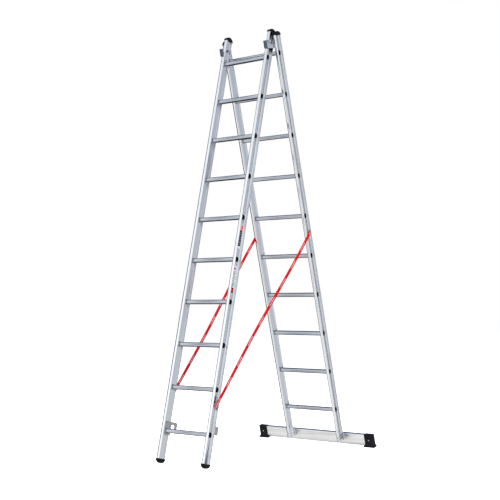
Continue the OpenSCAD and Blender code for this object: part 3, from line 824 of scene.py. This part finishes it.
foot_plastic = black_plastic("stabiliser_foot_plastic", (0.005, 0.005, 0.006), 0.40, 2200)
sole_flare = 8 * MM
sole_toe = 12 * MM
for side in ("left", "right"):
    node = "stabiliser_foot_" + side
    corners = [rear.inverted() @ v.co for v in nodes[node].data.vertices]
    low = Vector(min(c[k] for c in corners) for k in range(3))
    high = Vector(max(c[k] for c in corners) for k in range(3))
    body_low = Vector((low.x + sole_flare, low.y + sole_toe, low.z))
    body_high = Vector((high.x - sole_flare, high.y, high.z))
    bar_corners = [rear.inverted() @ v.co for v in nodes["stabiliser_bar"].data.vertices]
    bar_low = Vector(min(c[k] for c in bar_corners) for k in range(3))
    bar_high = Vector(max(c[k] for c in bar_corners) for k in range(3))
    # Each level is a height, with the shares of the sole's flare and of its toe at that height.
    levels = [
        (low.z, 1.0, 0.8), (low.z + 0.8 * MM, 1.0, 1.0), (low.z + 7 * MM, 1.0, 1.0),
        (low.z + 9 * MM, 0.86, 0.86), (low.z + 12 * MM, 0.42, 0.42), (low.z + 16 * MM, 0.12, 0.12),
        (low.z + 22 * MM, 0.0, 0.0), (high.z - 3 * MM, 0.0, 0.0),
        (high.z - 1 * MM, -0.25, -0.14), (high.z, -0.75, -0.42),
    ]
    bm = bmesh.new()
    corner = 3 * MM
    rings = []
    for z, flare_share, toe_share in levels:
        x0, x1 = body_low.x - sole_flare * flare_share, body_high.x + sole_flare * flare_share
        y0 = body_low.y - sole_toe * toe_share
        y1 = body_high.y + min(0.0, sole_toe * toe_share)
        ring = []
        for cx, cy, a0 in ((x1 - corner, y1 - corner, 0), (x0 + corner, y1 - corner, 90),
                           (x0 + corner, y0 + corner, 180), (x1 - corner, y0 + corner, 270)):
            for k in range(5):
                a = math.radians(a0 + 90 * k / 4)
                ring.append(Vector((cx + corner * math.cos(a), cy + corner * math.sin(a), z)))
        rings.append(ring)
    skin(bm, rings, False)
    bm.verts.ensure_lookup_table()
    count = len(rings[0])
    bm.faces.new(list(bm.verts)[:count])
    bm.faces.new(list(bm.verts)[-count:][::-1])
    bmesh.ops.recalc_face_normals(bm, faces=bm.faces)
    inner_end = bar_low.x if side == "left" else bar_high.x
    mouth = high.x + MM if side == "left" else low.x - MM
    pocket = sorted((inner_end, mouth))
    bm = cut_away(bm, block((pocket[0], bar_low.y, bar_low.z), (pocket[1], bar_high.y, bar_high.z)))
    slots = bmesh.new()
    slot_count = 9
    pitch = (high.x - low.x) / slot_count
    for k in range(1, slot_count):
        x = low.x + k * pitch
        one = block((x - 1.1 * MM, low.y - MM, low.z - MM), (x + 1.1 * MM, high.y + MM, low.z + 1.6 * MM))
        mesh = bpy.data.meshes.new("slot")
        one.to_mesh(mesh)
        one.free()
        slots.from_mesh(mesh)
        bpy.data.meshes.remove(mesh)
    bm = cut_away(bm, slots)
    finish_piece("moulded_" + node, bm, foot_plastic, "rear_section", [node], rear)

screw_metal = zinc("screw_zinc", (0.74, 0.75, 0.77), 0.30, 0.0, 140.0)
onto_y = Matrix.Rotation(math.radians(90), 4, "Z")


def fasteners_of(node, draw):
    """Draws each of a node's fasteners from its box, and puts them in one mesh."""
    bm = bmesh.new()
    for low, high in solids_of(node, rear):
        draw(bm, low, high)
    return bm


def stabiliser_bolt(bm, low, high):
    """An M8 bolt through a stile and the bar, with a flanged hexagon head in front."""
    x, z = (low.x + high.x) / 2, (low.z + high.z) / 2
    part = bmesh.new()
    seat = low.y + 4 * MM
    turned(part, [(seat, 4 * MM), (high.y - 0.8 * MM, 4 * MM), (high.y, 3.2 * MM)], lambda v: v, 0, 0)
    turned(part, [(seat - MM, 6.9 * MM), (seat - 0.2 * MM, 7 * MM), (seat, 6.9 * MM)], lambda v: v, 0, 0, 32)
    hexagon(part, low.y, seat - MM, 6.4 * MM, 0, 0, 0.5 * MM)
    place_part(bm, part, x, z)


def stabiliser_nut(bm, low, high):
    """A hexagon nut behind the bar, open in the middle for its bolt."""
    x, z = (low.x + high.x) / 2, (low.z + high.z) / 2
    part = bmesh.new()
    ring = [(low.y, 4 * MM), (low.y, 6.6 * MM), (low.y + 0.3 * MM, 7 * MM), (high.y - 0.6 * MM, 7 * MM),
            (high.y, 6.3 * MM), (high.y, 4 * MM)]
    loops = [[part.verts.new((v, r * math.cos(math.pi * k / 3), r * math.sin(math.pi * k / 3)))
              for k in range(6)] for v, r in ring]
    for one, two in zip(loops, loops[1:] + loops[:1]):
        for k in range(6):
            j = (k + 1) % 6
            part.faces.new((one[k], one[j], two[j], two[k]))
    place_part(bm, part, x, z)


def foot_screw(bm, low, high):
    """A pan-head screw that goes through a foot's front wall into the bar."""
    x, z = (low.x + high.x) / 2, (low.z + high.z) / 2
    part = bmesh.new()
    seat = low.y + 2 * MM
    turned(part, [(high.y, 2.4 * MM), (high.y - MM, 3 * MM), (seat, 3 * MM)]
           + [(seat - v, r) for v, r in low_dome(5 * MM, 2 * MM)], lambda v: v, 0, 0)
    place_part(bm, part, x, z)


def place_part(bm, part, x, z):
    """Adds a part drawn along X to bm, turned to run along Y at (x, z)."""
    bmesh.ops.recalc_face_normals(part, faces=part.faces)
    part.transform(Matrix.Translation((x, 0, z)) @ onto_y)
    mesh = bpy.data.meshes.new("part")
    part.to_mesh(mesh)
    part.free()
    bm.from_mesh(mesh)
    bpy.data.meshes.remove(mesh)


for node, draw in (("stabiliser_bolts", stabiliser_bolt), ("stabiliser_nuts", stabiliser_nut),
                   ("stabiliser_foot_screws", foot_screw)):
    finish_piece("zinc_" + node, fasteners_of(node, draw), screw_metal, "rear_section",
                 [node], rear)

# --- Strap anchors ----------------------------------------------------------------------
# A spacer carries each strap clear of the stile's flanges, and a screw with a wide flat head
# runs through the strap's end into the stile's web.
anchor_head = 3 * MM
anchor_gap = 0.5 * MM
web_thick = 1.6 * MM
for node, section in (("front_strap_anchors", "front"), ("rear_strap_anchors", "rear")):
    place = front if section == "front" else rear
    bm = bmesh.new()
    for low, high in solids_of(node, place):
        y, z = (low.y + high.y) / 2, (low.z + high.z) / 2
        sign = 1 if low.x > 0 else -1
        a, b = (low.x, high.x) if sign > 0 else (high.x, low.x)
        head = b - sign * anchor_head
        under = head - sign * (web_thick + 2 * anchor_gap)
        turned(bm, [(a, 3.4 * MM), (a + sign * 0.6 * MM, 4 * MM), (a + sign * 3 * MM, 4 * MM),
                    (a + sign * 3 * MM, 6.6 * MM), (a + sign * 3.5 * MM, 7 * MM),
                    (under - sign * 0.5 * MM, 7 * MM), (under, 6.6 * MM), (under, 4 * MM),
                    (head, 4 * MM), (head, 7.7 * MM), (head + sign * 0.5 * MM, 8 * MM),
                    (head + sign * 1.6 * MM, 7.8 * MM), (head + sign * 2.6 * MM, 6.2 * MM),
                    (b, 4.2 * MM), (b, 2.6 * MM), (b - sign * 1.4 * MM, 2.2 * MM)],
               lambda x: x, y, z, 32)
    finish_piece("turned_" + node, bm, screw_metal, section + "_section", [node], place)

# --- Straps -----------------------------------------------------------------------------
# Woven red polyester webbing, 25 mm wide, with groups of white ticks woven in. Each end is cut
# with a hot knife and held under the wide head of its anchor screw.
web_width = 25 * MM
strap_past_screw = 14 * MM
splay_start, splay_share = 0.30, 0.62
dash_pitch = 165 * MM
tick_pitch = 9 * MM


def webbing(name):
    """Red polyester weave, with groups of white ticks along the middle."""
    material, tree, bsdf = new_material(name)
    uv = tree.nodes.new("ShaderNodeUVMap")
    uv.uv_map = "along"
    parts = tree.nodes.new("ShaderNodeSeparateXYZ")
    tree.links.new(uv.outputs[0], parts.inputs[0])
    across, along = parts.outputs["X"], parts.outputs["Y"]

    def maths(kind, one, two=None):
        n = tree.nodes.new("ShaderNodeMath")
        n.operation = kind
        for socket, value in ((0, one), (1, two)):
            if value is None:
                continue
            if isinstance(value, (int, float)):
                n.inputs[socket].default_value = value
            else:
                tree.links.new(value, n.inputs[socket])
        return n.outputs[0]

    rib = maths("SINE", maths("MULTIPLY", along, 2 * math.pi / (1.4 * MM)))
    warp = maths("SINE", maths("MULTIPLY", across, 2 * math.pi / (1.1 * MM)))
    weave = maths("MULTIPLY", rib, warp)
    fuzz = noise(tree, tree.nodes.new("ShaderNodeTexCoord").outputs["Object"], 900, 4)
    red = blend_colour(tree, spread(tree, weave, -1, 1), (0.44, 0.001, 0.003), (0.58, 0.004, 0.006))
    step = maths("FRACT", maths("DIVIDE", along, dash_pitch))
    in_group = maths("LESS_THAN", step, 0.46)
    tick = maths("FRACT", maths("DIVIDE", maths("ADD", along, maths("MULTIPLY", across, 0.4)), tick_pitch))
    in_dash = maths("MULTIPLY", in_group, maths("LESS_THAN", tick, 0.30))
    in_band = maths("LESS_THAN", maths("ABSOLUTE", across), 4.2 * MM)
    white = maths("MULTIPLY", in_dash, in_band)
    tree.links.new(blend_colour(tree, white, red, (0.86, 0.84, 0.82)), bsdf.inputs["Base Color"])
    bsdf.inputs["Roughness"].default_value = 0.75
    bsdf.inputs["Sheen Weight"].default_value = 0.05
    bsdf.inputs["Specular IOR Level"].default_value = 0.15
    height = maths("ADD", maths("MULTIPLY", weave, 0.7), maths("MULTIPLY", fuzz, 0.5))
    raise_surface(tree, bsdf, height, 0.0003, 0.7)
    return material


strap_webbing = webbing("red_webbing")

anchors = {}
for node, place in (("front_strap_anchors", front), ("rear_strap_anchors", rear)):
    for low, high in solids_of(node, place):
        side = "right" if low.x > 0 else "left"
        sign = 1 if side == "right" else -1
        tip = high.x if side == "right" else low.x
        plane = tip - sign * (anchor_head + anchor_gap + web_thick / 2)
        centre = Vector((plane, (low.y + high.y) / 2, (low.z + high.z) / 2))
        anchors[node.split("_")[0], side] = place @ centre


def strap_point(side, t):
    """A point on the strap's middle line; it moves outward only where it's between the sections."""
    a, b = anchors["front", side], anchors["rear", side]
    p = a.lerp(b, t)
    s = min(1.0, max(0.0, (t - splay_start) / splay_share))
    p.x = a.x + (b.x - a.x) * s * s * (3 - 2 * s)
    return p


def ribbon(bm, uv, points, sign):
    """Adds flat webbing with rolled edges along points, its face turned along X."""
    half, thick = web_width / 2, web_thick / 2
    flat_half, rolled = half - 0.5 * MM, 0.35 * thick
    section = [(-half, -rolled), (-flat_half, -thick), (flat_half, -thick), (half, -rolled),
               (half, rolled), (flat_half, thick), (-flat_half, thick), (-half, rolled)]
    travelled, rings = 0.0, []
    for i, p in enumerate(points):
        ahead = points[min(i + 1, len(points) - 1)] - points[max(i - 1, 0)]
        tangent = ahead.normalized()
        flat = Vector((1, 0, 0)).cross(tangent).normalized()
        face = tangent.cross(flat).normalized() * sign
        if i:
            travelled += (p - points[i - 1]).length
        rings.append(([bm.verts.new(p + face * v + flat * u) for u, v in section],
                      [(u, travelled) for u, v in section]))
    for (one, uv_one), (two, uv_two) in zip(rings, rings[1:]):
        for k in range(len(section)):
            j = (k + 1) % len(section)
            face = bm.faces.new((one[k], one[j], two[j], two[k]))
            for loop, value in zip(face.loops, (uv_one[k], uv_one[j], uv_two[j], uv_two[k])):
                loop[uv].uv = value
    for ring, coords in (rings[0], rings[-1]):
        face = bm.faces.new(ring)
        for loop, value in zip(face.loops, coords):
            loop[uv].uv = value


for side in ("left", "right"):
    sign = 1 if side == "right" else -1
    a, b = anchors["front", side], anchors["rear", side]
    run = (b - a).length
    over = strap_past_screw / run
    steps = 72
    bm = bmesh.new()
    uv = bm.loops.layers.uv.new("along")
    line = [strap_point(side, -over + (1 + 2 * over) * i / steps) for i in range(steps + 1)]
    ribbon(bm, uv, line, sign)
    bmesh.ops.recalc_face_normals(bm, faces=bm.faces)
    strap = finish_piece("webbing_strap_" + side, bm, strap_webbing, None, ["strap_" + side],
                         sharp=50)
    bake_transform(strap)

# --- Labels -----------------------------------------------------------------------------
# Two vinyl stickers in the channel of the right front stile: plain blocks of colour in the
# manner of a size plate and a safety plate, without lettering.


def printed(name, marks, paper=(0.60, 0.62, 0.65)):
    """Sticker paint: marks are (low u, low v, high u, high v, colour) boxes, u and v from 0 to 1."""
    material, tree, bsdf = new_material(name)
    uv = tree.nodes.new("ShaderNodeUVMap")
    uv.uv_map = "print"
    parts = tree.nodes.new("ShaderNodeSeparateXYZ")
    tree.links.new(uv.outputs[0], parts.inputs[0])
    u, v = parts.outputs["X"], parts.outputs["Y"]
    place = tree.nodes.new("ShaderNodeTexCoord").outputs["Object"]
    colour = blend_colour(tree, noise(tree, place, 60, 3), paper, tuple(0.93 * c for c in paper))
    for u0, v0, u1, v1, ink in marks:
        inside_box = None
        for socket, kind, limit in ((u, "GREATER_THAN", u0), (u, "LESS_THAN", u1),
                                    (v, "GREATER_THAN", v0), (v, "LESS_THAN", v1)):
            test = tree.nodes.new("ShaderNodeMath")
            test.operation = kind
            tree.links.new(socket, test.inputs[0])
            test.inputs[1].default_value = limit
            if inside_box is None:
                inside_box = test.outputs[0]
                continue
            both_true = tree.nodes.new("ShaderNodeMath")
            both_true.operation = "MULTIPLY"
            tree.links.new(inside_box, both_true.inputs[0])
            tree.links.new(test.outputs[0], both_true.inputs[1])
            inside_box = both_true.outputs[0]
        colour = blend_colour(tree, inside_box, colour, ink)
    tree.links.new(colour, bsdf.inputs["Base Color"])
    bsdf.inputs["Roughness"].default_value = 0.4
    bsdf.inputs["Specular IOR Level"].default_value = 0.15
    raise_surface(tree, bsdf, noise(tree, place, 400, 2), 0.00003, 0.4)
    return material


black, white, grey = (0.004, 0.004, 0.005), (0.85, 0.85, 0.85), (0.30, 0.32, 0.34)
red, yellow, green = (0.62, 0.004, 0.008), (0.75, 0.52, 0.04), (0.04, 0.20, 0.09)
upper_marks = [(0.02, 0.75, 0.98, 0.98, red), (0.34, 0.80, 0.66, 0.83, white),
               (0.34, 0.89, 0.66, 0.92, white)]
upper_marks += [(0.02, 0.09 + 0.074 * k, 0.98, 0.157 + 0.074 * k, black) for k in range(9)]
upper_marks += [(0.04, 0.01, 0.44, 0.06, yellow)]
lower_marks = [(0.06, 0.01, 0.94, 0.20, black), (0.26, 0.05, 0.74, 0.16, red), (0.30, 0.86, 0.80, 0.94, red)]
lower_marks += [(0.10 + 0.06 * (k % 3), 0.235 + 0.054 * k, 0.76 + 0.06 * (k % 4), 0.265 + 0.054 * k,
                 (green, black, green, grey)[k % 4]) for k in range(11)]
for node, marks in (("label_upper", upper_marks), ("label_lower", lower_marks)):
    (low, high), = solids_of(node, front)
    bm = bmesh.new()
    uv = bm.loops.layers.uv.new("print")
    corner, outline = 2 * MM, []
    for cy, cz, a0 in ((high.y - corner, high.z - corner, 0), (low.y + corner, high.z - corner, 90),
                       (low.y + corner, low.z + corner, 180), (high.y - corner, low.z + corner, 270)):
        for k in range(5):
            a = math.radians(a0 + 90 * k / 4)
            outline.append((cy + corner * math.cos(a), cz + corner * math.sin(a)))
    back = [bm.verts.new((low.x, y, z)) for y, z in outline]
    face = [bm.verts.new((high.x, y, z)) for y, z in outline]
    bm.faces.new(face)
    bm.faces.new(back[::-1])
    for i in range(len(outline)):
        j = (i + 1) % len(outline)
        bm.faces.new((back[i], back[j], face[j], face[i]))
    for polygon in bm.faces:
        for loop in polygon.loops:
            y, z = loop.vert.co.y, loop.vert.co.z
            loop[uv].uv = ((y - low.y) / (high.y - low.y), (z - low.z) / (high.z - low.z))
    finish_piece("vinyl_" + node, bm, printed("print_" + node, marks), "front_section",
                 [node], front)
